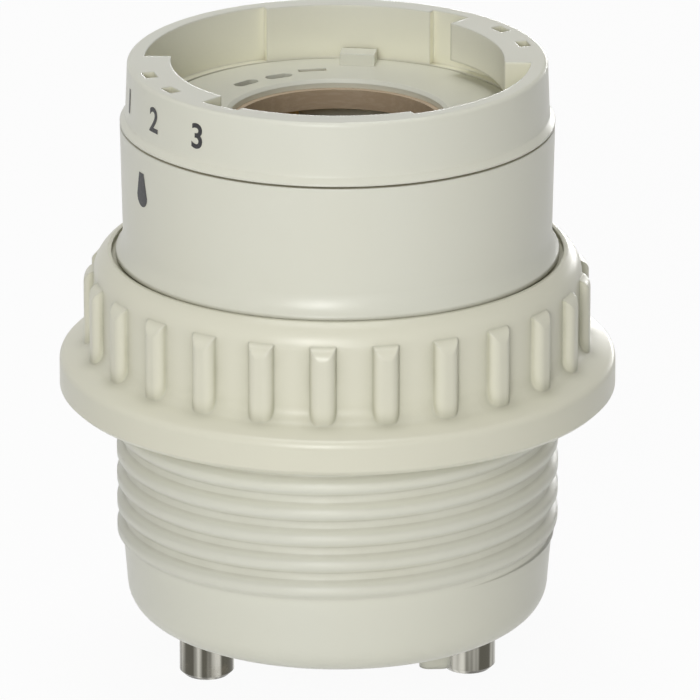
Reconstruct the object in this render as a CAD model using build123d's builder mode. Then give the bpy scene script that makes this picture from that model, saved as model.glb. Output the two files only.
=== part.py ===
from build123d import *
import os
from math import cos, radians, sin, tan

# Twist-lock lamp holder with a ballast inside. Millimetres and degrees, axis on Z, pin tips on z = 0.
# Angles are measured from +X, anticlockwise seen from above, and the front is towards -Y.

# Base pins
pin_spacing = 24.0
pin_reach = 6.45
pin_head_r = 2.5
pin_head_length = 3.7
pin_head_bevel = 0.45
pin_shank_r = 1.6
pin_cup_r = 1.35
pin_cup_length = 1.8
pin_hole_clearance = 0.1
washer_r = 2.9
washer_thickness = 0.6

# Threaded base
base_height = 34.15
base_floor = 2.2
base_edge_r = 3.0
pilot_r = 18.95
thread_crest_r = 20.08
thread_depth = 0.62
thread_pitch = 2.45
thread_ridge_foot = 2.0
thread_ridge_land = 0.7
thread_foot_sink = 0.1
thread_root_sink = 0.4
thread_start = 7.1
thread_length = 14.25
thread_lead_in = 2.7
thread_fade = 0.75
neck_relief = 0.26
neck_wall = 2.3
board_ledge = 0.9
board_drop = 4.0
spigot_wall = 1.0
spigot_height = 3.2
bead_height = 0.2
bead_width = 0.8
lug_length_x = 2.9
lug_length_y = 2.2
lug_offset_x = 3.35
lug_offset_y = 4.3
lug_corner_r = 0.9
lug_lift = 1.85

# Barrel
barrel_height = 12.15
barrel_r = 19.57
barrel_draft = 0.2
foot_flare = 0.65
foot_land = 0.4
foot_sweep = 1.9
barrel_lip_wall = 1.87
barrel_lip_height = 2.0
barrel_thin_wall = 1.15
shelf_height = 5.4
shelf_thickness = 1.4
shelf_hole_r = 13.4
post_count = 3
post_width = 2.4
post_depth = 1.3
spigot_clearance = 0.2

# Selector collar
seam_gap = 0.2
collar_height = 5.65
collar_rim_r = 18.88
collar_draft = 0.2
collar_bevel_height = 0.6
collar_foot_land = 0.1
rim_wall = 1.5
rim_edge_r = 0.35
mouth_depth = 5.0
collar_web = 0.65
skirt_wall = 0.8
skirt_length = 3.3
skirt_bead = 0.6
skirt_bead_height = 0.8
turning_clearance = 0.3
rim_shelf_angle = 18.0
rim_shelf_span = 50.0
rim_shelf_reach = 2.4
rim_shelf_depth = 3.5
raised_span = 53.0
raised_reach = 0.7
notch_span = 13.0
rim_slot_angle = 20.0
rim_slot_length = 1.7
rim_slot_width = 1.1
rim_slot_depth = 2.4
rim_slot_step = 16.0
number_step = 18.4
stop_angle = 100.0
stop_span = 14.0
stop_play = 1.5
detent_span = 7.0
detent_depth = 0.6

# Shade ring
ring_height = 12.9
ring_mouth_rise = 0.2
ring_wall_r = 22.1
ring_shoulder_drop = 2.3
ring_shoulder_land = 0.35
flange_r = 25.2
flange_thickness = 3.1
flange_slope = 20.0
flange_edge_r = 0.7
flange_foot_bevel = 0.4
flange_fillet_r = 1.6
rib_count = 25
rib_stand = 0.85
rib_width = 2.35
rib_edge_r = 0.9
rib_drop = 3.1
rib_round = 1.3
rib_angle = -97.0
ring_lip_height = 1.6
ring_thread_turns = 2.0
ring_bore_clearance = 0.4
foot_gap = 0.4

# Socket plate and terminal plate
plate_thickness = 0.8
plate_wall = 1.2
well_r = 9.8
well_bevel = 0.3
terminal_thickness = 1.8
terminal_clearance = 0.2
terminal_inset = 0.5
slot_ring_r = 12.1
slot_length = 2.6
slot_width = 1.1
slot_angles = (129.5, 112.5)
latch_slot_r = 12.9
latch_slot_width = 0.7
latch_slot_angle = 96.5
key_angle = 79.0
key_width = 3.2
key_length = 1.9
key_height = 1.1
key_inset = 0.3
stake_angle = 20.0
stake_r = 0.9
stake_clearance = 0.12
stake_head_r = 1.5
stake_head_height = 0.6

# Lamp contacts and detent spring
contact_thickness = 0.3
contact_width = 2.2
contact_tab = 1.1
contact_leaf = 3.4
contact_waist = 0.35
contact_waist_drop = 2.0
contact_mouth = 0.8
spring_thickness = 0.3
spring_width = 1.1
spring_length = 7.0
spring_foot = 1.2
spring_crown = 1.2
spring_rise = 3.0
spring_angle = -80.0

# Ballast board and what hangs from it
board_thickness = 1.6
board_clearance = 0.2
lead_size = 0.6
lead_clearance = 0.12
lead_stub = 1.0
capacitor_r = 5.0
capacitor_length = 20.0
capacitor_offset = 9.6
capacitor_crimp = 0.45
capacitor_crimp_height = 1.4
capacitor_crimp_drop = 2.8
capacitor_bevel = 0.45
capacitor_lead_pitch = 4.0
choke_offset = 8.0
core_width = 13.0
core_depth = 4.8
core_height = 13.0
core_leg = 2.2
core_post = 4.4
core_gap = 0.2
bobbin_wall = 0.6
bobbin_flange = 0.8
bobbin_depth = 10.0
bobbin_clearance = 0.15
bobbin_corner_r = 0.8
winding_inset = 0.3
film_x = 9.9
film_y = -5.8
film_width = 5.4
film_depth = 4.4
film_height = 7.5
film_edge_r = 0.7
film_bevel = 0.4
film_lead_pitch = 2.4
toroid_x = -9.4
toroid_y = 6.0
toroid_r = 4.1
toroid_hole_r = 2.1
toroid_height = 4.2
toroid_bevel = 0.6
transistor_places = ((9.3, 4.2), (8.7, 8.8))
transistor_width = 6.2
transistor_depth = 2.6
transistor_height = 9.0
transistor_stand_off = 2.0
transistor_lead_pitch = 2.0
transistor_bevel = 0.5
diode_count = 4
diode_pitch = 3.0
diode_y = 0.5
diode_r = 1.3
diode_length = 4.6
diode_lead_span = 6.0
diode_gap = 0.2
fuse_x = -8.2
fuse_y = -0.6
fuse_r = 1.6
fuse_length = 8.0
fuse_gap = 1.0
fuse_bevel = 0.5
wire_r = 0.8

# Heights worked out from the driving sizes
base_z = pin_reach
floor_z = base_z + base_floor
washer_top_z = floor_z + washer_thickness
cup_top_z = washer_top_z + pin_cup_length
shoulder_z = base_z + base_height
board_z = shoulder_z - board_drop
board_top_z = board_z + board_thickness
thread_z = base_z + thread_start
thread_top_z = thread_z + thread_length
shelf_z = shoulder_z + shelf_height
shelf_under_z = shelf_z - shelf_thickness
barrel_top_z = shoulder_z + barrel_height
collar_z = barrel_top_z + seam_gap
web_z = collar_z + collar_web
skirt_z = collar_z - skirt_length
bead_top_z = skirt_z + skirt_bead_height
rim_z = collar_z + collar_height
mouth_z = rim_z - mouth_depth
plate_under_z = mouth_z - plate_thickness
terminal_z = plate_under_z - terminal_thickness
ring_top_z = shoulder_z + ring_mouth_rise
ring_z = ring_top_z - ring_height
ring_ledge_z = shoulder_z - turning_clearance
flange_top_z = ring_z + flange_thickness
ring_shoulder_z = ring_top_z - ring_shoulder_drop

# Radii worked out from the driving sizes
thread_root_r = thread_crest_r - thread_depth
neck_r = thread_root_r - neck_relief
bore_r = neck_r - neck_wall
cavity_r = bore_r - board_ledge
board_r = bore_r - board_clearance
spigot_r = bore_r + spigot_wall
barrel_socket_r = spigot_r + spigot_clearance
barrel_foot_r = barrel_r - barrel_draft
foot_r = barrel_foot_r + foot_flare
undercut_r = barrel_foot_r + barrel_draft / 2 - barrel_thin_wall
lip_r = barrel_r - barrel_lip_wall
skirt_r = lip_r - turning_clearance
skirt_bore_r = skirt_r - skirt_wall
plate_r = skirt_bore_r - turning_clearance
plate_bore_r = plate_r - plate_wall
terminal_r = plate_bore_r - terminal_clearance
collar_foot_r = collar_rim_r + collar_draft
pocket_r = collar_rim_r - rim_wall
ring_bore_r = thread_crest_r + ring_bore_clearance
ring_lip_r = neck_r + ring_bore_clearance
ring_mouth_r = foot_r + foot_gap
rib_r = ring_wall_r + rib_stand

# Places of the leads on the board, as (x, y)
both_sides = (-1, 1)
bar_depth = (bobbin_depth - core_depth) / 2 - bobbin_clearance
bar_y = core_depth / 2 + bobbin_clearance + bar_depth / 2
wire_places = [(side * pin_spacing / 2, 0) for side in both_sides]
capacitor_leads = [(side * capacitor_lead_pitch / 2, capacitor_offset) for side in both_sides]
bar_lead_ys = [side * bar_y - choke_offset for side in both_sides]
bobbin_leads = [(side * core_post / 2, y) for side in both_sides for y in bar_lead_ys]
film_places = [(side * film_x, film_y) for side in both_sides]
film_leads = [[(x, y + end * film_lead_pitch / 2) for end in both_sides] for x, y in film_places]
toroid_leads = [(toroid_x, toroid_y + side * (toroid_r + toroid_hole_r) / 2) for side in both_sides]
transistor_leads = [[(x + k * transistor_lead_pitch, y) for k in (-1, 0, 1)] for x, y in transistor_places]
diode_xs = [(k - (diode_count - 1) / 2) * diode_pitch for k in range(diode_count)]
diode_leads = [(x, diode_y + side * diode_lead_span / 2) for x in diode_xs for side in both_sides]
fuse_fold = fuse_r + lead_size
fuse_leads = [(fuse_x, fuse_y), (fuse_x, fuse_y - fuse_fold)]
board_leads = capacitor_leads + bobbin_leads + toroid_leads + diode_leads + fuse_leads
board_leads += [place for places in film_leads + transistor_leads for place in places]

# Places round the axis that are the same half a turn on
half_turns = (0, 180)
contact_angles = [angle + turn for turn in half_turns for angle in slot_angles]
latch_angles = [latch_slot_angle + turn for turn in half_turns]
key_angles = [key_angle + turn for turn in half_turns]
stake_angles = [stake_angle + turn for turn in half_turns]


def around(radius, angles):
    # Places on a circle, each turned so that its own x runs round the axis.
    return [Location((radius * cos(radians(a)), radius * sin(radians(a)), 0), (0, 0, a + 90)) for a in angles]


def ring_sector(inner_r, outer_r, middle, span):
    with BuildSketch() as shape:
        with BuildLine():
            outer = CenterArc((0, 0), outer_r, middle - span / 2, span)
            inner = CenterArc((0, 0), inner_r, middle - span / 2, span)
            Line(outer @ 0, inner @ 0)
            Line(outer @ 1, inner @ 1)
        make_face()
    return shape.sketch


def radial_plane(angle):
    # Upright plane through the axis: local x points outwards and local y points up.
    outwards = Vector(cos(radians(angle)), sin(radians(angle)), 0)
    return Plane(origin=(0, 0, 0), x_dir=outwards, z_dir=(outwards.Y, -outwards.X, 0))


def tangent_plane(radius, angle):
    # Upright plane facing outwards at a radius: local x runs round the axis and local y points up.
    outwards = Vector(cos(radians(angle)), sin(radians(angle)), 0)
    return Plane(origin=outwards * radius, x_dir=(-outwards.Y, outwards.X, 0), z_dir=outwards)


def lead_pins(places, bottom_z):
    # Square leads at the given places, up through the board to the ends of their stubs.
    with BuildPart() as pins:
        with BuildSketch(Plane.XY.offset(bottom_z)):
            with Locations(*places):
                Rectangle(lead_size, lead_size)
        extrude(amount=board_top_z + lead_stub - bottom_z)
    return pins.part


def helix_ridge(wall_r, crest_r, z, turns):
    # One helical ridge with a flat land, its foot sunk into the wall that carries it.
    inwards = -1 if crest_r > wall_r else 1
    foot_r = wall_r + inwards * thread_foot_sink
    root_r = wall_r + inwards * thread_root_sink
    half_foot = thread_ridge_foot / 2
    half_land = thread_ridge_land / 2
    with BuildPart() as ridge:
        with BuildLine():
            path = Helix(thread_pitch, thread_pitch * turns, foot_r, center=(0, 0, z))
        with BuildSketch(Plane.XZ):
            with BuildLine():
                Polyline(
                    (root_r, z - half_foot),
                    (foot_r, z - half_foot),
                    (crest_r, z - half_land),
                    (crest_r, z + half_land),
                    (foot_r, z + half_foot),
                    (root_r, z + half_foot),
                    close=True,
                )
            make_face()
        sweep(path=path, is_frenet=True)
    return ridge.part


def save(piece, name):
    piece.label = name
    export_step(piece, f"parts/{name}.step")


os.makedirs("parts", exist_ok=True)

# Outside thread: the ridge runs past both ends and is trimmed by a band with a bevelled foot
band_r = thread_crest_r + thread_depth
ridge_z = thread_z - thread_lead_in
ridge_turns = (thread_lead_in + thread_length) / thread_pitch + 1
with BuildPart() as thread:
    with BuildSketch(Plane.XZ):
        with BuildLine():
            Polyline(
                (bore_r, thread_z - thread_fade),
                (band_r, thread_z + thread_fade),
                (band_r, thread_top_z),
                (bore_r, thread_top_z),
                close=True,
            )
        make_face()
    revolve(axis=Axis.Z)
    add(helix_ridge(thread_root_r, thread_crest_r, ridge_z, ridge_turns), mode=Mode.INTERSECT)

# Threaded base: cup with a board ledge, a beaded spigot, pin holes and the key lug
lug_place = (pin_spacing / 2 - lug_offset_x, -lug_offset_y)
with BuildPart() as threaded_base:
    with BuildSketch(Plane.XZ):
        with BuildLine():
            Polyline(
                (0, base_z),
                (pilot_r, base_z),
                (thread_root_r, thread_z - thread_fade),
                (thread_root_r, thread_top_z),
                (neck_r, thread_top_z + neck_relief),
                (neck_r, shoulder_z),
                (spigot_r, shoulder_z),
                (spigot_r, shoulder_z + spigot_height),
                (bore_r, shoulder_z + spigot_height),
                (bore_r, board_z),
                (cavity_r, board_z),
                (cavity_r, floor_z),
                (0, floor_z),
                close=True,
            )
        make_face()
    revolve(axis=Axis.Z)
    fillet(threaded_base.edges().group_by(Axis.Z)[0], base_edge_r)
    with BuildSketch(Plane.XZ):
        with Locations((spigot_r, shoulder_z + spigot_height / 2)):
            Polygon((0, -bead_width), (bead_height, 0), (0, bead_width), (-bead_height, 0), align=None)
    revolve(axis=Axis.Z)
    with BuildSketch(Plane.XY.offset(lug_lift)):
        with Locations(lug_place):
            RectangleRounded(lug_length_x, lug_length_y, lug_corner_r)
    extrude(amount=base_z - lug_lift)
    with BuildSketch(Plane.XY.offset(base_z)):
        with Locations(*wire_places):
            Circle(pin_shank_r + pin_hole_clearance)
    extrude(amount=base_floor, mode=Mode.SUBTRACT)
    add(thread.part)
save(threaded_base.part, "threaded_base")

# Base pins: thick head, shank through the floor, solder cup above the washer
for side_name, place in zip(("left", "right"), wire_places):
    with BuildPart() as base_pin:
        with BuildSketch():
            with Locations(place):
                Circle(pin_head_r)
        extrude(amount=pin_head_length)
        chamfer(base_pin.edges().group_by(Axis.Z)[0], pin_head_bevel)
        with BuildSketch(Plane.XY.offset(pin_head_length)):
            with Locations(place):
                Circle(pin_shank_r)
        extrude(amount=washer_top_z - pin_head_length)
        with BuildSketch(Plane.XY.offset(washer_top_z)):
            with Locations(place):
                Circle(pin_cup_r)
        extrude(amount=pin_cup_length)
    save(base_pin.part, f"base_pin_{side_name}")

# Locking washers that hold the pins, seated on the floor of the base
with BuildPart() as pin_washers:
    with BuildSketch(Plane.XY.offset(floor_z)):
        with Locations(*wire_places):
            Circle(washer_r)
            Circle(pin_shank_r + pin_hole_clearance, mode=Mode.SUBTRACT)
    extrude(amount=washer_thickness)
save(pin_washers.part, "pin_washers")

# Leads from the solder cups up to the board
for side_name, place in zip(("left", "right"), wire_places):
    with BuildPart() as pin_lead:
        with BuildSketch(Plane.XY.offset(cup_top_z)):
            with Locations(place):
                Circle(wire_r)
        extrude(amount=board_z - cup_top_z)
    save(pin_lead.part, f"pin_lead_{side_name}")

# Barrel: flared foot, socket for the spigot, shelf, undercut and lip for the collar, stop and board posts
foot_top_z = shoulder_z + foot_land
with BuildPart() as barrel:
    with BuildSketch(Plane.XZ):
        with BuildLine():
            TangentArc((barrel_foot_r, foot_top_z + foot_sweep), (foot_r, foot_top_z), tangent=(0, -1))
            Polyline(
                (foot_r, foot_top_z),
                (foot_r, shoulder_z),
                (barrel_socket_r, shoulder_z),
                (barrel_socket_r, shelf_under_z),
                (shelf_hole_r, shelf_under_z),
                (shelf_hole_r, shelf_z),
                (undercut_r, shelf_z),
                (undercut_r, barrel_top_z - barrel_lip_height),
                (lip_r, barrel_top_z - barrel_lip_height),
                (lip_r, barrel_top_z),
                (barrel_r, barrel_top_z),
                (barrel_foot_r, foot_top_z + foot_sweep),
            )
        make_face()
    revolve(axis=Axis.Z)
    with BuildSketch(Plane.XZ):
        with Locations((barrel_socket_r, shoulder_z + spigot_height / 2)):
            Polygon((0, -bead_width), (bead_height, 0), (0, bead_width), (-bead_height, 0), align=None)
    revolve(axis=Axis.Z, mode=Mode.SUBTRACT)
    with BuildSketch(Plane.XY.offset(shelf_z)):
        add(ring_sector(skirt_bore_r, undercut_r, stop_angle, stop_span))
    extrude(amount=bead_top_z - shelf_z)
    with BuildSketch(Plane.XY.offset(shelf_under_z)):
        with PolarLocations(board_r - board_clearance - post_depth / 2, post_count, start_angle=stop_angle):
            Rectangle(post_depth, post_width)
    extrude(amount=board_top_z + board_clearance - shelf_under_z)
save(barrel.part, "barrel")

# Selector collar: bevelled foot, keyed mouth, snap skirt with a stop window and three detents
bevel_z = collar_z + collar_foot_land
raised_middle = rim_shelf_angle + rim_shelf_span / 2 + notch_span + raised_span / 2
rim_slot_pair = [rim_slot_angle + side * rim_slot_step / 2 for side in both_sides]
rim_slot_angles = [angle + turn for turn in half_turns for angle in rim_slot_pair]
rim_middle_r = pocket_r + rim_wall / 2
with BuildPart() as selector_collar:
    with BuildSketch(Plane.XZ):
        with BuildLine():
            Polyline(
                (pocket_r, rim_z),
                (collar_rim_r, rim_z),
                (collar_foot_r, bevel_z + collar_bevel_height),
                (barrel_r, bevel_z),
                (barrel_r, collar_z),
                (skirt_r, collar_z),
                (skirt_r, bead_top_z),
                (skirt_r + skirt_bead, bead_top_z),
                (skirt_r, skirt_z),
                (skirt_bore_r, skirt_z),
                (skirt_bore_r, web_z),
                (pocket_r, web_z),
                close=True,
            )
        make_face()
    revolve(axis=Axis.Z)
    fillet(selector_collar.edges().group_by(Axis.Z)[-1].sort_by(SortBy.RADIUS)[-1], rim_edge_r)
    with BuildSketch(Plane.XY.offset(web_z)):
        for turn in half_turns:
            add(ring_sector(pocket_r - raised_reach, rim_middle_r, raised_middle + turn, raised_span))
    extrude(amount=rim_z - web_z)
    with BuildSketch(Plane.XY.offset(rim_z)):
        for turn in half_turns:
            shelf_middle = rim_shelf_angle + turn
            add(ring_sector(pocket_r - rim_shelf_reach, rim_middle_r, shelf_middle, rim_shelf_span))
    extrude(amount=-rim_shelf_depth)
    with BuildSketch(Plane.XY.offset(rim_z)):
        with Locations(*around(pocket_r, rim_slot_angles)):
            Rectangle(rim_slot_length, rim_slot_width)
    extrude(amount=-rim_slot_depth, mode=Mode.SUBTRACT)
    window_span = stop_span + 2 * (number_step + stop_play)
    with BuildSketch(Plane.XY.offset(skirt_z)):
        add(ring_sector(plate_r, undercut_r, stop_angle, window_span))
    extrude(amount=skirt_bead_height + turning_clearance, mode=Mode.SUBTRACT)
    with BuildSketch(Plane.XY.offset(skirt_z)):
        for step in (-1, 0, 1):
            add(ring_sector(plate_r, undercut_r, spring_angle + step * number_step, detent_span))
    extrude(amount=detent_depth, mode=Mode.SUBTRACT)
save(selector_collar.part, "selector_collar")

# One rib of the shade ring: a section with rounded crest edges, trimmed to an outline with a rounded top
rib_z = ring_top_z - rib_drop
rib_top_z = rib_z + rib_round
rib_foot_z = ring_z + flange_thickness / 2
rib_root_r = rib_r - rib_round
with BuildPart() as rib:
    with BuildSketch(Plane.XY.offset(rib_foot_z)) as rib_section:
        with Locations((rib_root_r + rib_round / 2, 0)):
            Rectangle(rib_round, rib_width)
        fillet(rib_section.vertices().group_by(Axis.X)[-1], rib_edge_r)
    extrude(amount=rib_top_z - rib_foot_z)
    with BuildSketch(Plane.XZ):
        with BuildLine():
            Polyline((rib_root_r, rib_top_z), (rib_root_r, rib_foot_z), (rib_r, rib_foot_z), (rib_r, rib_z))
            TangentArc((rib_r, rib_z), (rib_root_r, rib_top_z), tangent=(0, 1))
        make_face()
    extrude(amount=rib_width, both=True, mode=Mode.INTERSECT)

# Shade ring: sloped flange, ribbed wall, rounded shoulder, lip under the barrel's foot, inside thread
ring_thread_z = ring_z + thread_ridge_foot / 2 + turning_clearance
slope = radians(flange_slope)
slope_top_r = ring_wall_r + flange_fillet_r * (1 - sin(slope))
slope_top_z = flange_top_z + (flange_r - slope_top_r) * tan(slope)
slope_top = (slope_top_r, slope_top_z)
fillet_top = (ring_wall_r, slope_top_z + flange_fillet_r * cos(slope))
with BuildPart() as shade_ring:
    with BuildSketch(Plane.XZ):
        with BuildLine():
            Polyline((ring_bore_r, ring_z), (flange_r, ring_z), (flange_r, flange_top_z), slope_top)
            TangentArc(slope_top, fillet_top, tangent=(-cos(slope), sin(slope)))
            Line(fillet_top, (ring_wall_r, ring_shoulder_z))
            TangentArc((ring_wall_r, ring_shoulder_z), (ring_mouth_r + ring_shoulder_land, ring_top_z),
                       tangent=(0, 1))
            Polyline(
                (ring_mouth_r + ring_shoulder_land, ring_top_z),
                (ring_mouth_r, ring_top_z),
                (ring_mouth_r, ring_ledge_z),
                (ring_lip_r, ring_ledge_z),
                (ring_lip_r, ring_ledge_z - ring_lip_height),
                (ring_bore_r, ring_ledge_z - ring_lip_height),
                (ring_bore_r, ring_z),
            )
        make_face()
    revolve(axis=Axis.Z)
    widest = shade_ring.edges().filter_by(GeomType.CIRCLE).sort_by(SortBy.RADIUS)[-2:]
    fillet(widest.sort_by(Axis.Z)[-1], flange_edge_r)
    chamfer(shade_ring.edges().group_by(Axis.Z)[0].sort_by(SortBy.RADIUS)[-1], flange_foot_bevel)
    with PolarLocations(0, rib_count, start_angle=rib_angle):
        add(rib.part)
    add(helix_ridge(ring_bore_r, ring_lip_r, ring_thread_z, ring_thread_turns))
save(shade_ring.part, "shade_ring")

# Socket plate: floor of the mouth with the lamp well, slots and key blocks, on a wall from the shelf
with BuildPart() as socket_plate:
    with BuildSketch(Plane.XZ):
        with BuildLine():
            Polyline(
                (well_r, mouth_z),
                (plate_r, mouth_z),
                (plate_r, shelf_z),
                (plate_bore_r, shelf_z),
                (plate_bore_r, plate_under_z),
                (well_r, plate_under_z),
                close=True,
            )
        make_face()
    revolve(axis=Axis.Z)
    chamfer(socket_plate.edges().group_by(Axis.Z)[-1].sort_by(SortBy.RADIUS)[0], well_bevel)
    with BuildSketch(Plane.XY.offset(mouth_z)):
        with Locations(*around(slot_ring_r, contact_angles)):
            SlotOverall(slot_length, slot_width)
        with Locations(*around(latch_slot_r, latch_angles)):
            Rectangle(slot_length, latch_slot_width)
    extrude(amount=-plate_thickness, mode=Mode.SUBTRACT)
    with BuildSketch(Plane.XY.offset(mouth_z)):
        with Locations(*around(plate_r - key_inset - key_length / 2, key_angles)):
            Rectangle(key_width, key_length)
    extrude(amount=key_height)
    with BuildSketch(Plane.XY.offset(plate_under_z)):
        with Locations(*around(slot_ring_r, stake_angles)):
            Circle(stake_r)
    extrude(amount=-terminal_thickness)
    with BuildSketch(Plane.XY.offset(terminal_z)):
        with Locations(*around(slot_ring_r, stake_angles)):
            Circle(stake_head_r)
    extrude(amount=-stake_head_height)
save(socket_plate.part, "socket_plate")

# Terminal plate: brown insulating disc, held by the stakes under the socket plate
with BuildPart() as terminal_plate:
    with BuildSketch(Plane.XY.offset(terminal_z)):
        Circle(terminal_r)
        Circle(well_r - terminal_inset, mode=Mode.SUBTRACT)
        with Locations(*around(slot_ring_r, contact_angles)):
            SlotOverall(slot_length, slot_width, mode=Mode.SUBTRACT)
        with Locations(*around(slot_ring_r, stake_angles)):
            Circle(stake_r + stake_clearance, mode=Mode.SUBTRACT)
    extrude(amount=terminal_thickness)
save(terminal_plate.part, "terminal_plate")

# Lamp contacts: strips folded into a clip under each slot, with a tail that stands on the board
clip_z = terminal_z - contact_leaf
waist_z = terminal_z - contact_waist_drop
tail_r = slot_ring_r - contact_mouth - contact_tab
for number, angle in enumerate(contact_angles, start=1):
    with BuildPart() as lamp_contact:
        with BuildSketch(radial_plane(angle)):
            with BuildLine():
                Polyline(
                    (slot_ring_r + contact_mouth + contact_tab, terminal_z),
                    (slot_ring_r + contact_mouth, terminal_z),
                    (slot_ring_r + contact_waist, waist_z),
                    (slot_ring_r + contact_mouth, clip_z),
                    (slot_ring_r - contact_mouth, clip_z),
                    (slot_ring_r - contact_waist, waist_z),
                    (slot_ring_r - contact_mouth, terminal_z),
                    (tail_r, terminal_z),
                    (tail_r, board_top_z),
                )
                offset(amount=contact_thickness, kind=Kind.INTERSECTION, side=Side.LEFT)
            make_face()
        extrude(amount=contact_width / 2, both=True)
    save(lamp_contact.part, f"lamp_contact_{number}")

# Detent spring: bridge of strip on the shelf, its crown just under the collar's skirt
with BuildPart() as detent_spring:
    with BuildSketch(tangent_plane((plate_r + undercut_r) / 2, spring_angle)):
        with BuildLine():
            Polyline(
                (-spring_length / 2, shelf_z),
                (-spring_length / 2 + spring_foot, shelf_z),
                (-spring_crown / 2, shelf_z + spring_rise),
                (spring_crown / 2, shelf_z + spring_rise),
                (spring_length / 2 - spring_foot, shelf_z),
                (spring_length / 2, shelf_z),
            )
            offset(amount=spring_thickness, kind=Kind.INTERSECTION, side=Side.LEFT)
        make_face()
    extrude(amount=spring_width / 2, both=True)
save(detent_spring.part, "detent_spring")

# Ballast board: disc on the ledge of the base, with a hole for each lead
hole_size = lead_size + 2 * lead_clearance
with BuildPart() as ballast_board:
    with BuildSketch(Plane.XY.offset(board_z)):
        Circle(board_r)
        with Locations(*board_leads):
            Rectangle(hole_size, hole_size, mode=Mode.SUBTRACT)
    extrude(amount=board_thickness)
save(ballast_board.part, "ballast_board")

# Smoothing capacitor: round can with a crimp near its leads
capacitor_axis = Axis((0, capacitor_offset, 0), (0, 0, 1))
crimp_z = board_z - capacitor_crimp_drop
with BuildPart() as smoothing_capacitor:
    with BuildSketch(Plane.XZ.offset(-capacitor_offset)):
        with BuildLine():
            Polyline(
                (0, board_z),
                (capacitor_r, board_z),
                (capacitor_r, crimp_z + capacitor_crimp_height),
                (capacitor_r - capacitor_crimp, crimp_z + capacitor_crimp_height / 2),
                (capacitor_r, crimp_z),
                (capacitor_r, board_z - capacitor_length),
                (0, board_z - capacitor_length),
                close=True,
            )
        make_face()
    revolve(axis=capacitor_axis)
    chamfer(smoothing_capacitor.edges().group_by(Axis.Z)[0], capacitor_bevel)
    add(lead_pins(capacitor_leads, board_z))
save(smoothing_capacitor.part, "smoothing_capacitor")

# Choke core: two E halves closed on each other, with the post through the bobbin
core_top_z = board_z - core_gap
core_mid_z = core_top_z - core_height / 2
window_width = (core_width - core_post) / 2 - core_leg
window_height = core_height - 2 * core_leg
window_x = (core_post + window_width) / 2
with BuildPart() as choke_core:
    with BuildSketch(Plane.XZ.offset(choke_offset)):
        with Locations((0, core_mid_z)):
            Rectangle(core_width, core_height)
        with Locations((-window_x, core_mid_z), (window_x, core_mid_z)):
            Rectangle(window_width, window_height, mode=Mode.SUBTRACT)
    extrude(amount=core_depth / 2, both=True)
save(choke_core.part, "choke_core")

# Choke bobbin: tube round the post with two flanges, and bars that stand it off the board
tube_x = core_post + 2 * bobbin_clearance
tube_y = core_depth + 2 * bobbin_clearance
reel_x = core_post + 2 * (window_width - bobbin_clearance)
reel_z = core_mid_z - window_height / 2 + bobbin_clearance
reel_height = window_height - 2 * bobbin_clearance
reel_top_z = reel_z + reel_height
with BuildPart() as choke_bobbin:
    with BuildSketch(Plane.XY.offset(reel_z)):
        with Locations((0, -choke_offset)):
            Rectangle(tube_x + 2 * bobbin_wall, tube_y + 2 * bobbin_wall)
    extrude(amount=reel_height)
    for flange_z in (reel_z, reel_top_z - bobbin_flange):
        with BuildSketch(Plane.XY.offset(flange_z)):
            with Locations((0, -choke_offset)):
                RectangleRounded(reel_x, bobbin_depth, bobbin_corner_r)
        extrude(amount=bobbin_flange)
    with BuildSketch(Plane.XY.offset(reel_top_z)):
        with Locations((0, bar_y - choke_offset), (0, -bar_y - choke_offset)):
            Rectangle(reel_x, bar_depth)
    extrude(amount=board_z - reel_top_z)
    with BuildSketch(Plane.XY.offset(reel_z)):
        with Locations((0, -choke_offset)):
            Rectangle(tube_x, tube_y)
    extrude(amount=reel_height, mode=Mode.SUBTRACT)
    add(lead_pins(bobbin_leads, board_z))
save(choke_bobbin.part, "choke_bobbin")

# Choke winding: the wound copper between the flanges
with BuildPart() as choke_winding:
    with BuildSketch(Plane.XY.offset(reel_z + bobbin_flange)):
        with Locations((0, -choke_offset)):
            RectangleRounded(reel_x - 2 * winding_inset, bobbin_depth - 2 * winding_inset, bobbin_corner_r)
            Rectangle(tube_x + 2 * bobbin_wall, tube_y + 2 * bobbin_wall, mode=Mode.SUBTRACT)
    extrude(amount=reel_height - 2 * bobbin_flange)
save(choke_winding.part, "choke_winding")

# Film capacitors: dipped blocks with rounded edges
for number, (place, leads) in enumerate(zip(film_places, film_leads), start=1):
    with BuildPart() as film_capacitor:
        with BuildSketch(Plane.XY.offset(board_z - film_height)):
            with Locations(place):
                RectangleRounded(film_width, film_depth, film_edge_r)
        extrude(amount=film_height)
        chamfer(film_capacitor.edges().group_by(Axis.Z)[0], film_bevel)
        add(lead_pins(leads, board_z))
    save(film_capacitor.part, f"film_capacitor_{number}")

# Drive toroid: ring core flat against the board
with BuildPart() as drive_toroid:
    with BuildSketch(Plane.XY.offset(board_z - toroid_height)):
        with Locations((toroid_x, toroid_y)):
            Circle(toroid_r)
            Circle(toroid_hole_r, mode=Mode.SUBTRACT)
    extrude(amount=toroid_height)
    chamfer(drive_toroid.edges().group_by(Axis.Z)[0], toroid_bevel)
    add(lead_pins(toroid_leads, board_z))
save(drive_toroid.part, "drive_toroid")

# Transistors: moulded blocks held off the board by their three leads
transistor_top_z = board_z - transistor_stand_off
for number, (place, leads) in enumerate(zip(transistor_places, transistor_leads), start=1):
    with BuildPart() as transistor:
        with BuildSketch(Plane.XY.offset(transistor_top_z)):
            with Locations(place):
                Rectangle(transistor_width, transistor_depth)
        extrude(amount=-transistor_height)
        chamfer(transistor.edges().filter_by(Axis.X).group_by(Axis.Y)[0], transistor_bevel)
        add(lead_pins(leads, transistor_top_z))
    save(transistor.part, f"transistor_{number}")

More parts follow.
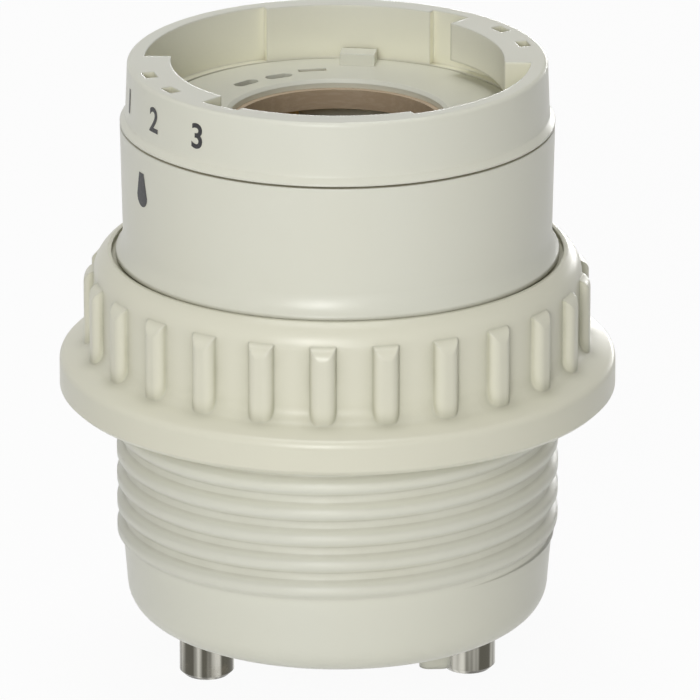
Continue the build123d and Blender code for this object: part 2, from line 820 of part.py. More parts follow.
# Rectifier diodes: a row of four under the board, on bent leads
diode_z = board_z - diode_gap - diode_r
diode_places = [(x, diode_z) for x in diode_xs]
with BuildPart() as rectifier_diodes:
    with BuildSketch(Plane.XZ.offset(-diode_y)):
        with Locations(*diode_places):
            Circle(diode_r)
    extrude(amount=diode_length / 2, both=True)
    with BuildSketch(Plane.XZ.offset(-diode_y)):
        with Locations(*diode_places):
            Rectangle(lead_size, lead_size)
    extrude(amount=(diode_lead_span + lead_size) / 2, both=True)
    add(lead_pins(diode_leads, diode_z))
save(rectifier_diodes.part, "rectifier_diodes")

# Fuse resistor: upright, with one lead folded back along its body
fuse_top_z = board_z - fuse_gap
fuse_foot_z = fuse_top_z - fuse_length
with BuildPart() as fuse_resistor:
    with BuildSketch(Plane.XY.offset(fuse_foot_z)):
        with Locations((fuse_x, fuse_y)):
            Circle(fuse_r)
    extrude(amount=fuse_length)
    chamfer(fuse_resistor.edges().filter_by(GeomType.CIRCLE), fuse_bevel)
    with BuildSketch(Plane.XY.offset(fuse_foot_z)):
        with Locations((fuse_x, fuse_y - fuse_fold / 2)):
            Rectangle(lead_size, fuse_fold + lead_size)
    extrude(amount=-lead_size)
    add(lead_pins(fuse_leads[:1], fuse_top_z))
    add(lead_pins(fuse_leads[1:], fuse_foot_z - lead_size))
save(fuse_resistor.part, "fuse_resistor")
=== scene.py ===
import math

import bmesh
import bpy
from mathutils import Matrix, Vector


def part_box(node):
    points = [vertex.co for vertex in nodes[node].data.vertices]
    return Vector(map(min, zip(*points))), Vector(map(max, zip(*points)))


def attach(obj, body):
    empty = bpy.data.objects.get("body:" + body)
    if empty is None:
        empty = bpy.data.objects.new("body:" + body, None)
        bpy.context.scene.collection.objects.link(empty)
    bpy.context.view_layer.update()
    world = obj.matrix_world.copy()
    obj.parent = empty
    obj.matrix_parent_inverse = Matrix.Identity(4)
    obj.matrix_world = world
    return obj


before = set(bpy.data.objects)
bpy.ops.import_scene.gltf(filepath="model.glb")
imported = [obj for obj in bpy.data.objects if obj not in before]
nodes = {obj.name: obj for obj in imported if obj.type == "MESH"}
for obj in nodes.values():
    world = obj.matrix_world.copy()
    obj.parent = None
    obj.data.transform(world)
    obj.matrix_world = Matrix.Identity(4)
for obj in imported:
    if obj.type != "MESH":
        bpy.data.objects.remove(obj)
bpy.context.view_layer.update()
mm = 0.001
print("frame loaded,", len(nodes), "nodes")


class Wire:
    # one output socket, so that shader maths reads as plain sums
    def __init__(self, graph, socket):
        self.graph = graph
        self.socket = socket

    def maths(self, operation, first, second=0.0):
        return self.graph.node("ShaderNodeMath", {"operation": operation}, {0: first, 1: second})

    def __add__(self, other):
        return self.maths("ADD", self, other)

    def __radd__(self, other):
        return self.maths("ADD", other, self)

    def __sub__(self, other):
        return self.maths("SUBTRACT", self, other)

    def __rsub__(self, other):
        return self.maths("SUBTRACT", other, self)

    def __mul__(self, other):
        return self.maths("MULTIPLY", self, other)

    def __rmul__(self, other):
        return self.maths("MULTIPLY", other, self)

    def __truediv__(self, other):
        return self.maths("DIVIDE", self, other)

    def __rtruediv__(self, other):
        return self.maths("DIVIDE", other, self)

    def __gt__(self, other):
        return self.maths("GREATER_THAN", self, other)

    def __lt__(self, other):
        return self.maths("LESS_THAN", self, other)

    def __abs__(self):
        return self.maths("ABSOLUTE", self)

    def sine(self):
        return self.maths("SINE", self)

    def fraction(self):
        return self.maths("FRACT", self)

    def larger(self, other):
        return self.maths("MAXIMUM", self, other)


class Graph:
    # a node tree that is put together node by node
    def __init__(self, tree):
        self.tree = tree
        tree.nodes.clear()

    def node(self, kind, settings=None, inputs=None, output=0):
        made = self.tree.nodes.new(kind)
        for key, value in (settings or {}).items():
            setattr(made, key, value)
        for key, value in (inputs or {}).items():
            if isinstance(value, Wire):
                self.tree.links.new(value.socket, made.inputs[key])
            else:
                made.inputs[key].default_value = value
        return Wire(self, made.outputs[output]) if made.outputs else None


class Finish(Graph):
    # the tree of one material
    def __init__(self, name):
        self.material = bpy.data.materials.new(name)
        self.material.use_nodes = True
        super().__init__(self.material.node_tree)
        self.place = self.node("ShaderNodeTexCoord", output="Object")

    def stretched(self, scale, shift=(0, 0, 0)):
        # the place with its own scale along each axis
        values = {"Vector": self.place, "Location": shift, "Scale": scale}
        return self.node("ShaderNodeMapping", inputs=values)

    def noise(self, scale, detail=3.0, roughness=0.55, at=None):
        values = {"Vector": at or self.place, "Scale": scale, "Detail": detail, "Roughness": roughness}
        return self.node("ShaderNodeTexNoise", inputs=values)

    def step(self, value, limits):
        values = {"Value": value, "From Min": limits[0], "From Max": limits[1]}
        return self.node("ShaderNodeMapRange", {"interpolation_type": "SMOOTHSTEP"}, values)

    def blend(self, share, first, second):
        # sockets 6 and 7 are the two colours, and output 2 is their mix
        return self.node("ShaderNodeMix", {"data_type": "RGBA"}, {0: share, 6: first, 7: second}, 2)

    def along(self, axis):
        return self.node("ShaderNodeSeparateXYZ", inputs={0: self.place}, output=axis)

    def softEdges(self, radius, samples):
        return self.node("ShaderNodeBevel", {"samples": samples}, {"Radius": radius})

    def shelter(self, reach, samples):
        # 0 in the open, growing towards 1 deep in a corner
        return 1 - self.node("ShaderNodeAmbientOcclusion", {"samples": samples}, {"Distance": reach}, "AO")

    def bump(self, height, depth, strength, normal=None):
        values = {"Height": height, "Distance": depth, "Strength": strength}
        if normal is not None:
            values["Normal"] = normal
        return self.node("ShaderNodeBump", inputs=values)

    def surface(self, sockets):
        shader = self.node("ShaderNodeBsdfPrincipled", inputs=sockets)
        self.node("ShaderNodeOutputMaterial", inputs={"Surface": shader})
        return self.material


def paint(finish, *names):
    for name in names:
        slots = nodes[name].data.materials
        slots.clear()
        slots.append(finish)


def addPiece(name, data):
    piece = bpy.data.objects.new(name, data)
    bpy.context.scene.collection.objects.link(piece)
    return piece


def grey(value):
    return (value, value, value, 1)


# ivory mouldings: faint mottling, a fine spark-eroded skin, soft edges, and dust with painted shade in the
# corners
ivory = {
    "warmer": (0.69, 0.675, 0.555, 1),
    "warmerShare": 0.5,
    "worn": (0.76, 0.755, 0.68, 1),
    "wornShare": 0.3,
    "cloudScale": 45.0,
    "cloudLimits": (0.25, 0.8),
    "smearScale": 320.0,
    "smearLimits": (0.2, 0.85),
    "skinScale": 5200.0,
    "skinDepth": 0.008 * mm,
    "edgeLimits": (0.01, 0.12),
    "dustAndShadeEven": 0.55,
    "roughness": 0.30,
    "smearRoughness": 0.06,
    "edgePolish": 0.04,
    "dustAndShadeRoughness": 0.2,
    "specular": 0.45,
}
barrelLook = {
    "colour": (0.70, 0.70, 0.605, 1),
    "edgeRound": 0.28 * mm,
    "dustAndShade": (0.47, 0.42, 0.27, 1),
    "dustAndShadeReach": 1.1 * mm,
    "dustAndShadeLimits": (0.35, 0.95),
    "dustAndShadeShare": 0.75,
}
plateLook = {**barrelLook, "edgeRound": 0.14 * mm}
collarLook = {
    **barrelLook,
    # painted light: a lighter colour for the sheltered inside
    "paintedInsideLight": (0.85, 0.835, 0.68, 1),
    "paintedLightReach": 9.0 * mm,
    "paintedLightLimits": (0.08, 0.4),
}
baseLook = {  # painted shade with a little dust in the roots of the thread
    "colour": (0.70, 0.70, 0.605, 1),
    "edgeRound": 0.9 * mm,
    "dustAndShade": (0.47, 0.455, 0.36, 1),
    "dustAndShadeReach": 1.2 * mm,
    "dustAndShadeLimits": (0.15, 0.29),
    "dustAndShadeShare": 0.8,
}
ringLook = {  # painted shade with a little dust beside the ribs
    "colour": (0.71, 0.695, 0.565, 1),
    "edgeRound": 0.28 * mm,
    "dustAndShade": (0.46, 0.45, 0.34, 1),
    "dustAndShadeReach": 1.5 * mm,
    "dustAndShadeLimits": (0.03, 0.24),
    "dustAndShadeShare": 0.9,
}


def ivoryFinish(name, sizes):
    look = Finish(name)
    cloud = look.step(look.noise(ivory["cloudScale"], detail=2.0), ivory["cloudLimits"])
    smear = look.step(look.noise(ivory["smearScale"], detail=2.0, roughness=0.5), ivory["smearLimits"])
    skin = look.noise(ivory["skinScale"], detail=2.0)
    rounded = look.softEdges(sizes["edgeRound"], samples=6)
    facing = look.node("ShaderNodeNewGeometry", output="Normal")
    bend = look.node("ShaderNodeVectorMath", {"operation": "DOT_PRODUCT"}, {0: rounded, 1: facing}, "Value")
    edge = look.step(1 - bend, ivory["edgeLimits"])
    # dust and painted shade: corners and creases are darkened by how sheltered they are
    corner = look.step(look.shelter(sizes["dustAndShadeReach"], samples=8), sizes["dustAndShadeLimits"])
    patchy = ivory["dustAndShadeEven"] + (1 - ivory["dustAndShadeEven"]) * smear
    dustAndShade = corner * patchy * sizes["dustAndShadeShare"]
    colour = look.blend(cloud * ivory["warmerShare"], sizes["colour"], ivory["warmer"])
    if "paintedInsideLight" in sizes:  # painted light: the sheltered inside of the collar is painted lighter
        paintedLightShare = look.step(look.shelter(sizes["paintedLightReach"], samples=6), sizes["paintedLightLimits"])
        colour = look.blend(paintedLightShare, colour, sizes["paintedInsideLight"])
    colour = look.blend(edge * ivory["wornShare"], colour, ivory["worn"])
    gloss = ivory["roughness"] + ivory["smearRoughness"] * smear - ivory["edgePolish"] * edge
    return look.surface({
        "Base Color": look.blend(dustAndShade, colour, sizes["dustAndShade"]),
        "Roughness": gloss + ivory["dustAndShadeRoughness"] * dustAndShade,
        "Normal": look.bump(skin, ivory["skinDepth"], strength=0.4, normal=rounded),
        "Specular IOR Level": ivory["specular"],
    })


paint(ivoryFinish("ivoryBarrel", barrelLook), "barrel")
paint(ivoryFinish("ivoryBase", baseLook), "threaded_base")
paint(ivoryFinish("ivoryCollar", collarLook), "selector_collar")
paint(ivoryFinish("ivoryRing", ringLook), "shade_ring")
paint(ivoryFinish("ivoryPlate", plateLook), "socket_plate")
print("ivory mouldings painted")

# plated pins: painted reflections as dark and bright streaks along the bar, turned rings and faint stains
pin = {
    "reflectionBright": (0.62, 0.605, 0.54, 1),
    "reflectionDark": (0.105, 0.10, 0.08, 1),
    "reflectionScale": (620.0, 620.0, 18.0),
    "reflectionShift": (7.4, 2.6, 0.0),
    "reflectionLimits": (0.42, 0.62),
    "stain": (0.24, 0.21, 0.16, 1),
    "stainScale": 420.0,
    "stainLimits": (0.55, 0.8),
    "stainShare": 0.4,
    "turnScale": 5200.0,
    "turnWander": 2.5,
    "turnDepth": 0.004 * mm,
    "edgeRound": 0.25 * mm,
    "roughness": 0.2,
    "stainRoughness": 0.12,
    "turnRoughness": 0.05,
}


def pinFinish():
    look = Finish("platedPinPaintedReflection")
    # painted reflection: dark and bright streaks along the pin stand in for the surroundings mirrored in
    # the plating
    reflectionPlace = look.stretched(pin["reflectionScale"], pin["reflectionShift"])
    paintedReflection = look.step(look.noise(1.0, detail=2.0, roughness=0.6, at=reflectionPlace), pin["reflectionLimits"])
    stain = look.step(look.noise(pin["stainScale"], detail=4.0), pin["stainLimits"])
    turned = look.node("ShaderNodeTexWave", {"bands_direction": "Z"}, {
        "Vector": look.place,
        "Scale": pin["turnScale"],
        "Distortion": pin["turnWander"],
        "Detail": 2.0,
    })
    reflectedColour = look.blend(paintedReflection, pin["reflectionDark"], pin["reflectionBright"])
    rounded = look.softEdges(pin["edgeRound"], samples=4)
    return look.surface({
        "Base Color": look.blend(stain * pin["stainShare"], reflectedColour, pin["stain"]),
        "Metallic": 1.0,
        "Roughness": pin["roughness"] + pin["stainRoughness"] * stain + pin["turnRoughness"] * turned,
        "Normal": look.bump(turned, pin["turnDepth"], strength=0.5, normal=rounded),
    })


paint(pinFinish(), "base_pin_left", "base_pin_right")

# strip metals: rolled lines and a little tarnish
strip = {
    "rollScale": (9000.0, 9000.0, 500.0),
    "rollDepth": 0.004 * mm,
    "rollRoughness": 0.1,
    "tarnishScale": 900.0,
    "tarnishLimits": (0.48, 0.75),
    "tarnishShare": 0.7,
    "tarnishRoughness": 0.15,
}
brass = {"colour": (0.72, 0.52, 0.22, 1), "tarnish": (0.42, 0.28, 0.12, 1), "roughness": 0.3}
steel = {"colour": (0.56, 0.57, 0.58, 1), "tarnish": (0.36, 0.34, 0.32, 1), "roughness": 0.28}


def stripFinish(name, sizes):
    look = Finish(name)
    lines = look.noise(1.0, detail=2.0, roughness=0.6, at=look.stretched(strip["rollScale"]))
    tarnish = look.step(look.noise(strip["tarnishScale"], detail=4.0), strip["tarnishLimits"])
    dull = sizes["roughness"] + strip["tarnishRoughness"] * tarnish
    return look.surface({
        "Base Color": look.blend(tarnish * strip["tarnishShare"], sizes["colour"], sizes["tarnish"]),
        "Metallic": 1.0,
        "Roughness": dull + strip["rollRoughness"] * lines,
        "Normal": look.bump(lines, strip["rollDepth"], strength=0.4),
    })


paint(stripFinish("contactBrass", brass), *(f"lamp_contact_{k}" for k in (1, 2, 3, 4)))
paint(stripFinish("springSteel", steel), "detent_spring", "pin_washers")
print("metals painted")

# sheet laminates: paper fibres and flecks
sheet = {
    "fibreScale": (350.0, 2600.0, 2600.0),
    "fibreLimits": (0.42, 0.66),
    "fibreShare": 0.5,
    "fibreDepth": 0.01 * mm,
    "fibreRoughness": 0.2,
    "cloudScale": 260.0,
    "cloudShare": 0.3,
}
brownSheet = {"colour": (0.48, 0.365, 0.25, 1), "fleck": (0.58, 0.47, 0.34, 1), "roughness": 0.5}
boardSheet = {"colour": (0.46, 0.31, 0.13, 1), "fleck": (0.30, 0.18, 0.07, 1), "roughness": 0.45}


def laminateFinish(name, sizes):
    look = Finish(name)
    fibre = look.noise(1.0, detail=4.0, roughness=0.65, at=look.stretched(sheet["fibreScale"]))
    fibre = look.step(fibre, sheet["fibreLimits"])
    cloud = look.noise(sheet["cloudScale"])
    fleck = fibre * sheet["fibreShare"] + cloud * sheet["cloudShare"]
    return look.surface({
        "Base Color": look.blend(fleck, sizes["colour"], sizes["fleck"]),
        "Roughness": sizes["roughness"] + sheet["fibreRoughness"] * (fibre - 0.5),
        "Normal": look.bump(fibre, sheet["fibreDepth"], strength=0.5),
    })


paint(laminateFinish("brownLaminate", brownSheet), "terminal_plate")
paint(laminateFinish("boardLaminate", boardSheet), "ballast_board")

# sintered ferrite: grainy, near black
ferrite = {
    "colour": (0.055, 0.054, 0.058, 1),
    "chip": (0.13, 0.125, 0.125, 1),
    "chipScale": 1100.0,
    "chipLimits": (0.6, 0.7),
    "chipShare": 0.7,
    "grainScale": 3200.0,
    "grainDepth": 0.02 * mm,
    "grainRoughness": 0.25,
    "roughness": 0.6,
}


def ferriteFinish():
    look = Finish("sinteredFerrite")
    grain = look.noise(ferrite["grainScale"], detail=3.0, roughness=0.7)
    chip = look.step(look.noise(ferrite["chipScale"]), ferrite["chipLimits"])
    return look.surface({
        "Base Color": look.blend(chip * ferrite["chipShare"], ferrite["colour"], ferrite["chip"]),
        "Roughness": ferrite["roughness"] + ferrite["grainRoughness"] * (grain - 0.5),
        "Normal": look.bump(grain, ferrite["grainDepth"], strength=0.6),
    })


paint(ferriteFinish(), "choke_core", "drive_toroid")

# enamelled copper: turns lie side by side round the bobbin, with painted shade in the grooves between them
copper = {
    "colour": (0.55, 0.21, 0.07, 1),
    "grooveShade": (0.16, 0.05, 0.02, 1),
    "wire": 0.45 * mm,
    "wireDepth": 0.12 * mm,
    "crestLimits": (-0.9, 0.4),
    "driftScale": 500.0,
    "drift": 0.12 * mm,
    "metallic": 0.6,
    "roughness": 0.25,
    "grooveRoughness": 0.25,
}


def windingFinish():
    look = Finish("copperWinding")
    drift = look.noise(copper["driftScale"], detail=2.0) * copper["drift"]
    turn = (look.along("Z") + drift) * (2 * math.pi / copper["wire"])
    crest = look.step(turn.sine(), copper["crestLimits"])
    return look.surface({
        "Base Color": look.blend(crest, copper["grooveShade"], copper["colour"]),
        "Metallic": copper["metallic"],
        "Roughness": copper["roughness"] + copper["grooveRoughness"] * (1 - crest),
        "Normal": look.bump(crest, copper["wireDepth"], strength=0.8),
    })


paint(windingFinish(), "choke_winding")

# small moulded and dipped parts share a skin with their own colours and sheen
skinned = {
    "cloudScale": 600.0,
    "cloudLimits": (0.4, 0.7),
    "cloudShare": 0.5,
    "cloudRoughness": 0.15,
    "peelScale": 2400.0,
    "peelDepth": 0.01 * mm,
}
smallParts = {
    "blackMoulding": {
        "colour": (0.022, 0.022, 0.024, 1),
        "cloud": (0.05, 0.05, 0.052, 1),
        "roughness": 0.5,
    },
    "redDip": {
        "colour": (0.33, 0.065, 0.03, 1),
        "cloud": (0.20, 0.035, 0.02, 1),
        "roughness": 0.22,
    },
    "wireCover": {
        "colour": (0.72, 0.71, 0.66, 1),
        "cloud": (0.55, 0.53, 0.46, 1),
        "roughness": 0.45,
    },
}


def skinFinish(name):
    sizes = smallParts[name]
    look = Finish(name)
    cloud = look.step(look.noise(skinned["cloudScale"], detail=4.0), skinned["cloudLimits"])
    peel = look.noise(skinned["peelScale"], detail=2.0)
    return look.surface({
        "Base Color": look.blend(cloud * skinned["cloudShare"], sizes["colour"], sizes["cloud"]),
        "Roughness": sizes["roughness"] + skinned["cloudRoughness"] * (cloud - 0.5),
        "Normal": look.bump(peel, skinned["peelDepth"], strength=0.5),
    })


paint(skinFinish("blackMoulding"), "choke_bobbin", "transistor_1", "transistor_2")
paint(skinFinish("redDip"), "film_capacitor_1", "film_capacitor_2")
paint(skinFinish("wireCover"), "pin_lead_left", "pin_lead_right")

# parts with a plain band: the capacitor's stripe, the diodes' ends and the resistor's rings
bandSkin = {
    "cloudColour": grey(0.05),
    "cloudScale": 700.0,
    "cloudShare": 0.15,
    "cloudDepth": 0.015 * mm,
    "cloudRoughness": 0.2,
    "bandRoughness": 0.1,
}
banded = {
    "capacitorSleeve": {
        "colour": (0.02, 0.025, 0.06, 1),
        "band": (0.55, 0.56, 0.58, 1),
        "roughness": 0.3,
        "halfWidth": 1.6 * mm,
    },
    "diodeBody": {
        "colour": (0.025, 0.025, 0.027, 1),
        "band": (0.62, 0.62, 0.6, 1),
        "roughness": 0.45,
        "start": 1.1 * mm,
        "end": 1.8 * mm,
    },
    "resistorCoat": {
        "colour": (0.30, 0.44, 0.5, 1),
        "band": (0.2, 0.09, 0.03, 1),
        "roughness": 0.4,
        "pitch": 1.7 * mm,
        "share": 0.35,  # of each pitch
        "first": 0.8,  # in pitches, as is the last
        "last": 5.0,
    },
}


def bandFinish(name, mask):
    sizes = banded[name]
    look = Finish(name)
    cloud = look.noise(bandSkin["cloudScale"])
    band = mask(look, sizes)
    colour = look.blend(band, sizes["colour"], sizes["band"])
    sheen = sizes["roughness"] + bandSkin["cloudRoughness"] * (cloud - 0.5)
    return look.surface({
        "Base Color": look.blend(cloud * bandSkin["cloudShare"], colour, bandSkin["cloudColour"]),
        "Roughness": sheen + bandSkin["bandRoughness"] * band,
        "Normal": look.bump(cloud, bandSkin["cloudDepth"], strength=0.4),
    })


def sleeveStripe(look, sizes):
    low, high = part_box("smoothing_capacitor")
    side = abs(look.along("X") - (low.x + high.x) / 2)
    return (side < sizes["halfWidth"]) * (look.along("Y") > (low.y + high.y) / 2)


def diodeRing(look, sizes):
    low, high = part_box("rectifier_diodes")
    length = look.along("Y") - (low.y + high.y) / 2
    return (length > sizes["start"]) * (length < sizes["end"])


def resistorRings(look, sizes):
    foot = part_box("fuse_resistor")[0].z
    height = (look.along("Z") - foot) / sizes["pitch"]
    return (height.fraction() < sizes["share"]) * (height > sizes["first"]) * (height < sizes["last"])


paint(bandFinish("capacitorSleeve", sleeveStripe), "smoothing_capacitor")
paint(bandFinish("diodeBody", diodeRing), "rectifier_diodes")
paint(bandFinish("resistorCoat", resistorRings), "fuse_resistor")
print("inner parts painted")

# printing ink: dense black with thin patches
ink = {
    "colour": (0.018, 0.018, 0.02, 1),
    "thin": (0.12, 0.12, 0.115, 1),
    "thinScale": 2600.0,
    "thinLimits": (0.5, 0.85),
    "thinDepth": 0.004 * mm,
    "thinRoughness": 0.2,
    "roughness": 0.42,
    "span": 0.5 * mm,  # longest edge of a printed outline, so that it follows the wall
    "lift": 0.02 * mm,
}


def inkFinish():
    look = Finish("printingInk")
    thin = look.step(look.noise(ink["thinScale"], detail=3.0, roughness=0.7), ink["thinLimits"])
    return look.surface({
        "Base Color": look.blend(thin, ink["colour"], ink["thin"]),
        "Roughness": ink["roughness"] + ink["thinRoughness"] * thin,
        "Normal": look.bump(thin, ink["thinDepth"], strength=0.4),
    })


inkBlack = inkFinish()


def longEdges(work):
    return [edge for edge in work.edges if edge.calc_length() > ink["span"]]


def wrapOn(piece, angle, height, top, wall):
    # lays a flat outline on a tapered wall: x runs round the axis and y up it
    work = bmesh.new()
    work.from_mesh(piece.data)
    bmesh.ops.triangulate(work, faces=work.faces)
    while longEdges(work):
        bmesh.ops.subdivide_edges(work, edges=longEdges(work), cuts=1)
        bmesh.ops.triangulate(work, faces=work.faces)
    for vert in work.verts:
        z = height + vert.co.y
        share = (top - z) / wall["wallHeight"]
        radius = wall["topRadius"] + (wall["footRadius"] - wall["topRadius"]) * share + ink["lift"]
        turn = math.radians(angle) + vert.co.x / radius
        vert.co = Vector((radius * math.cos(turn), radius * math.sin(turn), z))
    bmesh.ops.recalc_face_normals(work, faces=work.faces)
    work.to_mesh(piece.data)
    work.free()
    piece.data.materials.append(inkBlack)


# the numbers on the collar
numberPrint = {
    "angles": {"1": -171.2, "2": -152.8, "3": -134.4},
    "height": 2.2 * mm,
    "fontShare": 0.7,  # a figure's height as a share of the type size
    "heavier": 0.065 * mm,
    "fromRim": 2.75 * mm,
    "topRadius": 18.88 * mm,
    "footRadius": 19.08 * mm,
    "wallHeight": 4.95 * mm,
}
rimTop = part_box("selector_collar")[1].z


def figureOutline(figure):
    curve = bpy.data.curves.new("figure" + figure, "FONT")
    curve.body = figure
    curve.align_x = "CENTER"
    curve.align_y = "CENTER"
    curve.size = numberPrint["height"] / numberPrint["fontShare"]
    curve.offset = numberPrint["heavier"]
    text = addPiece("figure" + figure, curve)
    bpy.context.view_layer.update()
    outline = bpy.data.meshes.new_from_object(text)
    bpy.data.objects.remove(text)
    return outline


for figure, angle in numberPrint["angles"].items():
    piece = addPiece("collarNumber" + figure, figureOutline(figure))
    wrapOn(piece, angle, rimTop - numberPrint["fromRim"], rimTop, numberPrint)
    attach(piece, "collar")
print("numbers laid on the collar")

# the pointer on the barrel, a drop with a blunt tip and a round foot
pointer = {
    "angle": -157.0,
    "width": 2.0 * mm,
    "tipWidth": 0.9 * mm,
    "height": 3.2 * mm,
    "footSteps": 12,
    "fromTop": 2.0 * mm,
    "topRadius": 19.57 * mm,
    "footRadius": 19.37 * mm,
    "wallHeight": 9.85 * mm,
}
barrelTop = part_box("barrel")[1].z


def pointerOutline():
    half = pointer["width"] / 2
    tip = [(side * pointer["tipWidth"] / 2, pointer["height"], 0) for side in (1, -1)]
    turns = [math.radians(180 + 180 * k / pointer["footSteps"]) for k in range(pointer["footSteps"] + 1)]
    foot = [(half * math.cos(t), half * (1 + math.sin(t)), 0) for t in turns]
    outline = bpy.data.meshes.new("barrelPointer")
    outline.from_pydata(tip + foot, [], [tuple(range(len(tip + foot)))])
    return outline


arrow = addPiece("barrelPointer", pointerOutline())
wrapOn(arrow, pointer["angle"], barrelTop - pointer["fromTop"] - pointer["height"], barrelTop, pointer)
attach(arrow, "holder")
print("pointer laid on the barrel")

# solder: one fillet round each lead that stands out of the board
solder = {
    "parts": ("smoothing_capacitor", "choke_bobbin", "film_capacitor_1", "film_capacitor_2", "drive_toroid",
              "transistor_1", "transistor_2", "rectifier_diodes", "fuse_resistor"),
    "tipDepth": 0.05 * mm,
    "leadSpan": 1.0 * mm,
    "radius": 0.95 * mm,
    "neck": 0.36 * mm,
    "height": 0.75 * mm,
    "sides": 20,
    "rings": 5,
    "colour": (0.62, 0.62, 0.61, 1),
    "dull": (0.4, 0.4, 0.39, 1),
    "dullScale": 1500.0,
    "dullLimits": (0.45, 0.7),
    "dullShare": 0.6,
    "dullDepth": 0.02 * mm,
    "dullRoughness": 0.25,
    "roughness": 0.25,
}


def solderFinish():
    look = Finish("solder")
    dull = look.step(look.noise(solder["dullScale"], detail=4.0), solder["dullLimits"])
    return look.surface({
        "Base Color": look.blend(dull * solder["dullShare"], solder["colour"], solder["dull"]),
        "Metallic": 1.0,
        "Roughness": solder["roughness"] + solder["dullRoughness"] * dull,
        "Normal": look.bump(dull, solder["dullDepth"], strength=0.5),
    })


def leadTips():
    # the corners at the top of each part, gathered lead by lead
    leads = []
    for name in solder["parts"]:
        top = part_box(name)[1].z
        corners = [vert.co.xy for vert in nodes[name].data.vertices if top - vert.co.z < solder["tipDepth"]]
        for corner in corners:
            near = [lead for lead in leads if (lead[0] - corner).length < solder["leadSpan"]]
            if near:
                near[0].append(corner)
            else:
                leads.append([corner])
    return leads


def addFillet(work, lead, floorZ):
    x = (min(p.x for p in lead) + max(p.x for p in lead)) / 2
    y = (min(p.y for p in lead) + max(p.y for p in lead)) / 2
    turns = [2 * math.pi * k / solder["sides"] for k in range(solder["sides"])]
    rings = []
    for level in range(solder["rings"]):
        share = level / (solder["rings"] - 1)
        radius = solder["neck"] + (solder["radius"] - solder["neck"]) * (1 - share) ** 2
        z = floorZ + solder["height"] * share
        spots = [(x + radius * math.cos(t), y + radius * math.sin(t), z) for t in turns]
        rings.append([work.verts.new(spot) for spot in spots])
    for lower, upper in zip(rings, rings[1:]):
        for k in range(solder["sides"]):
            work.faces.new((lower[k], lower[k - 1], upper[k - 1], upper[k]))
    work.faces.new(rings[-1])
    work.faces.new(rings[0][::-1])


leads = leadTips()
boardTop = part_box("ballast_board")[1].z
work = bmesh.new()
for lead in leads:
    addFillet(work, lead, boardTop)
bmesh.ops.recalc_face_normals(work, faces=work.faces)
for face in work.faces:
    face.smooth = True
solderMesh = bpy.data.meshes.new("solderJoints")
work.to_mesh(solderMesh)
work.free()
solderMesh.materials.append(solderFinish())
solderPiece = addPiece("solderJoints", solderMesh)
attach(solderPiece, "holder")
print("solder joints:", len(leads))

# a pale floor, white to the camera but for a trace of the shadow
paleFloor = {
    "size": 6.0,
    "paper": grey(0.86),
    "shade": grey(0.82),
    "shadeScale": 3.0,
    "shadeShare": 0.1,
    "roughness": 0.9,
    "shadeGloss": 0.05,
    "whiteShare": 0.94,
}


def unlit(graph):
    # 1 for the rays that should see plain white: from the camera, or from a shiny or clear surface
    seen = graph.node("ShaderNodeLightPath", output="Is Camera Ray")
    for kind in ("Is Glossy Ray", "Is Transmission Ray"):
        seen = seen.larger(graph.node("ShaderNodeLightPath", output=kind))
    return seen


def floorFinish():
    look = Finish("paleFloor")
    cloud = look.noise(paleFloor["shadeScale"])
    paper = look.node("ShaderNodeBsdfPrincipled", inputs={
        "Base Color": look.blend(cloud * paleFloor["shadeShare"], paleFloor["paper"], paleFloor["shade"]),
        "Roughness": paleFloor["roughness"] - paleFloor["shadeGloss"] * cloud,
    })
    white = look.node("ShaderNodeEmission", inputs={"Color": grey(1.0), "Strength": 1.0})
    share = unlit(look) * paleFloor["whiteShare"]
    mixed = look.node("ShaderNodeMixShader", inputs={0: share, 1: paper, 2: white})
    look.node("ShaderNodeOutputMaterial", inputs={"Surface": mixed})
    return look.material


floorMesh = bpy.data.meshes.new("floor")
reach = paleFloor["size"] / 2
floorCorners = [(-reach, -reach, 0), (reach, -reach, 0), (reach, reach, 0), (-reach, reach, 0)]
floorMesh.from_pydata(floorCorners, [], [(0, 1, 2, 3)])
floorMesh.materials.append(floorFinish())
floor = addPiece("floor", floorMesh)

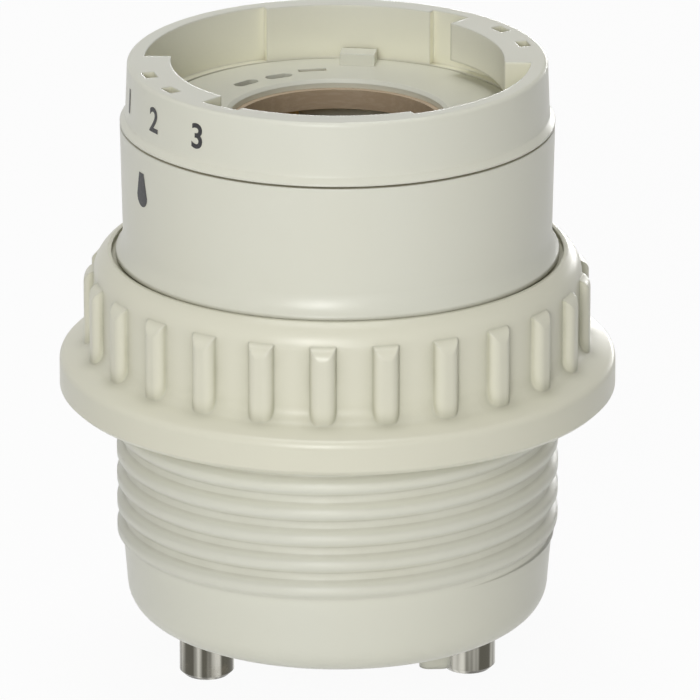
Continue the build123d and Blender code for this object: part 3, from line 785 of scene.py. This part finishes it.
# soft light: a key from the front left, a low strip, a lamp overhead and a low one behind
studio = {
    "worldLight": 0.18,
    "aim": (0, 0, 0.03),
    "lamps": {
        "keyLamp": {"place": (-0.20, -0.84, 0.31), "size": (0.32, 0.32), "power": 3.6},
        "lowLamp": {"place": (-0.1, -0.9, 0.08), "size": (0.5, 0.1), "power": 0.9},
        "topLamp": {"place": (-0.03, 0.02, 0.83), "size": (0.4, 0.4), "power": 2.35},
        "backLamp": {"place": (0.25, 0.86, 0.05), "size": (0.5, 0.08), "power": 1.7},
    },
}

world = bpy.data.worlds.new("studioWorld")
bpy.context.scene.world = world
world.use_nodes = True
sky = Graph(world.node_tree)
soft = sky.node("ShaderNodeBackground", inputs={"Color": grey(1.0), "Strength": studio["worldLight"]})
white = sky.node("ShaderNodeBackground", inputs={"Color": grey(1.0), "Strength": 1.0})
mixed = sky.node("ShaderNodeMixShader", inputs={0: unlit(sky), 1: soft, 2: white})
sky.node("ShaderNodeOutputWorld", inputs={"Surface": mixed})

for name, sizes in studio["lamps"].items():
    light = bpy.data.lights.new(name, "AREA")
    light.shape = "RECTANGLE"
    light.size, light.size_y = sizes["size"]
    light.energy = sizes["power"]
    lamp = addPiece(name, light)
    lamp.location = sizes["place"]
    beam = Vector(studio["aim"]) - Vector(sizes["place"])
    lamp.rotation_euler = beam.to_track_quat("-Z", "Y").to_euler()

# the camera stands where the photograph was taken from
view = {
    "azimuth": -3.7,
    "elevation": 19.15,
    "distance": 0.8,
    "aimHeight": 0.032,
    "lens": 454.0,
    "sensor": 36.0,
    "clipStart": 0.05,
    "frameWidth": 700,
    "shiftPixels": (12.5, -10.5),
}
turn = math.radians(view["azimuth"])
rise = math.radians(view["elevation"])
back = Vector((math.sin(turn) * math.cos(rise), -math.cos(turn) * math.cos(rise), math.sin(rise)))
cameraData = bpy.data.cameras.new("camera")
cameraData.lens = view["lens"]
cameraData.sensor_width = view["sensor"]
cameraData.shift_x = view["shiftPixels"][0] / view["frameWidth"]
cameraData.shift_y = view["shiftPixels"][1] / view["frameWidth"]
cameraData.clip_start = view["clipStart"]
camera = addPiece("camera", cameraData)
camera.location = Vector((0, 0, view["aimHeight"])) + back * view["distance"]
camera.rotation_mode = "QUATERNION"
camera.rotation_quaternion = (-back).to_track_quat("-Z", "Y")
bpy.context.scene.camera = camera
bpy.context.scene.view_settings.view_transform = "Standard"
print("studio set")
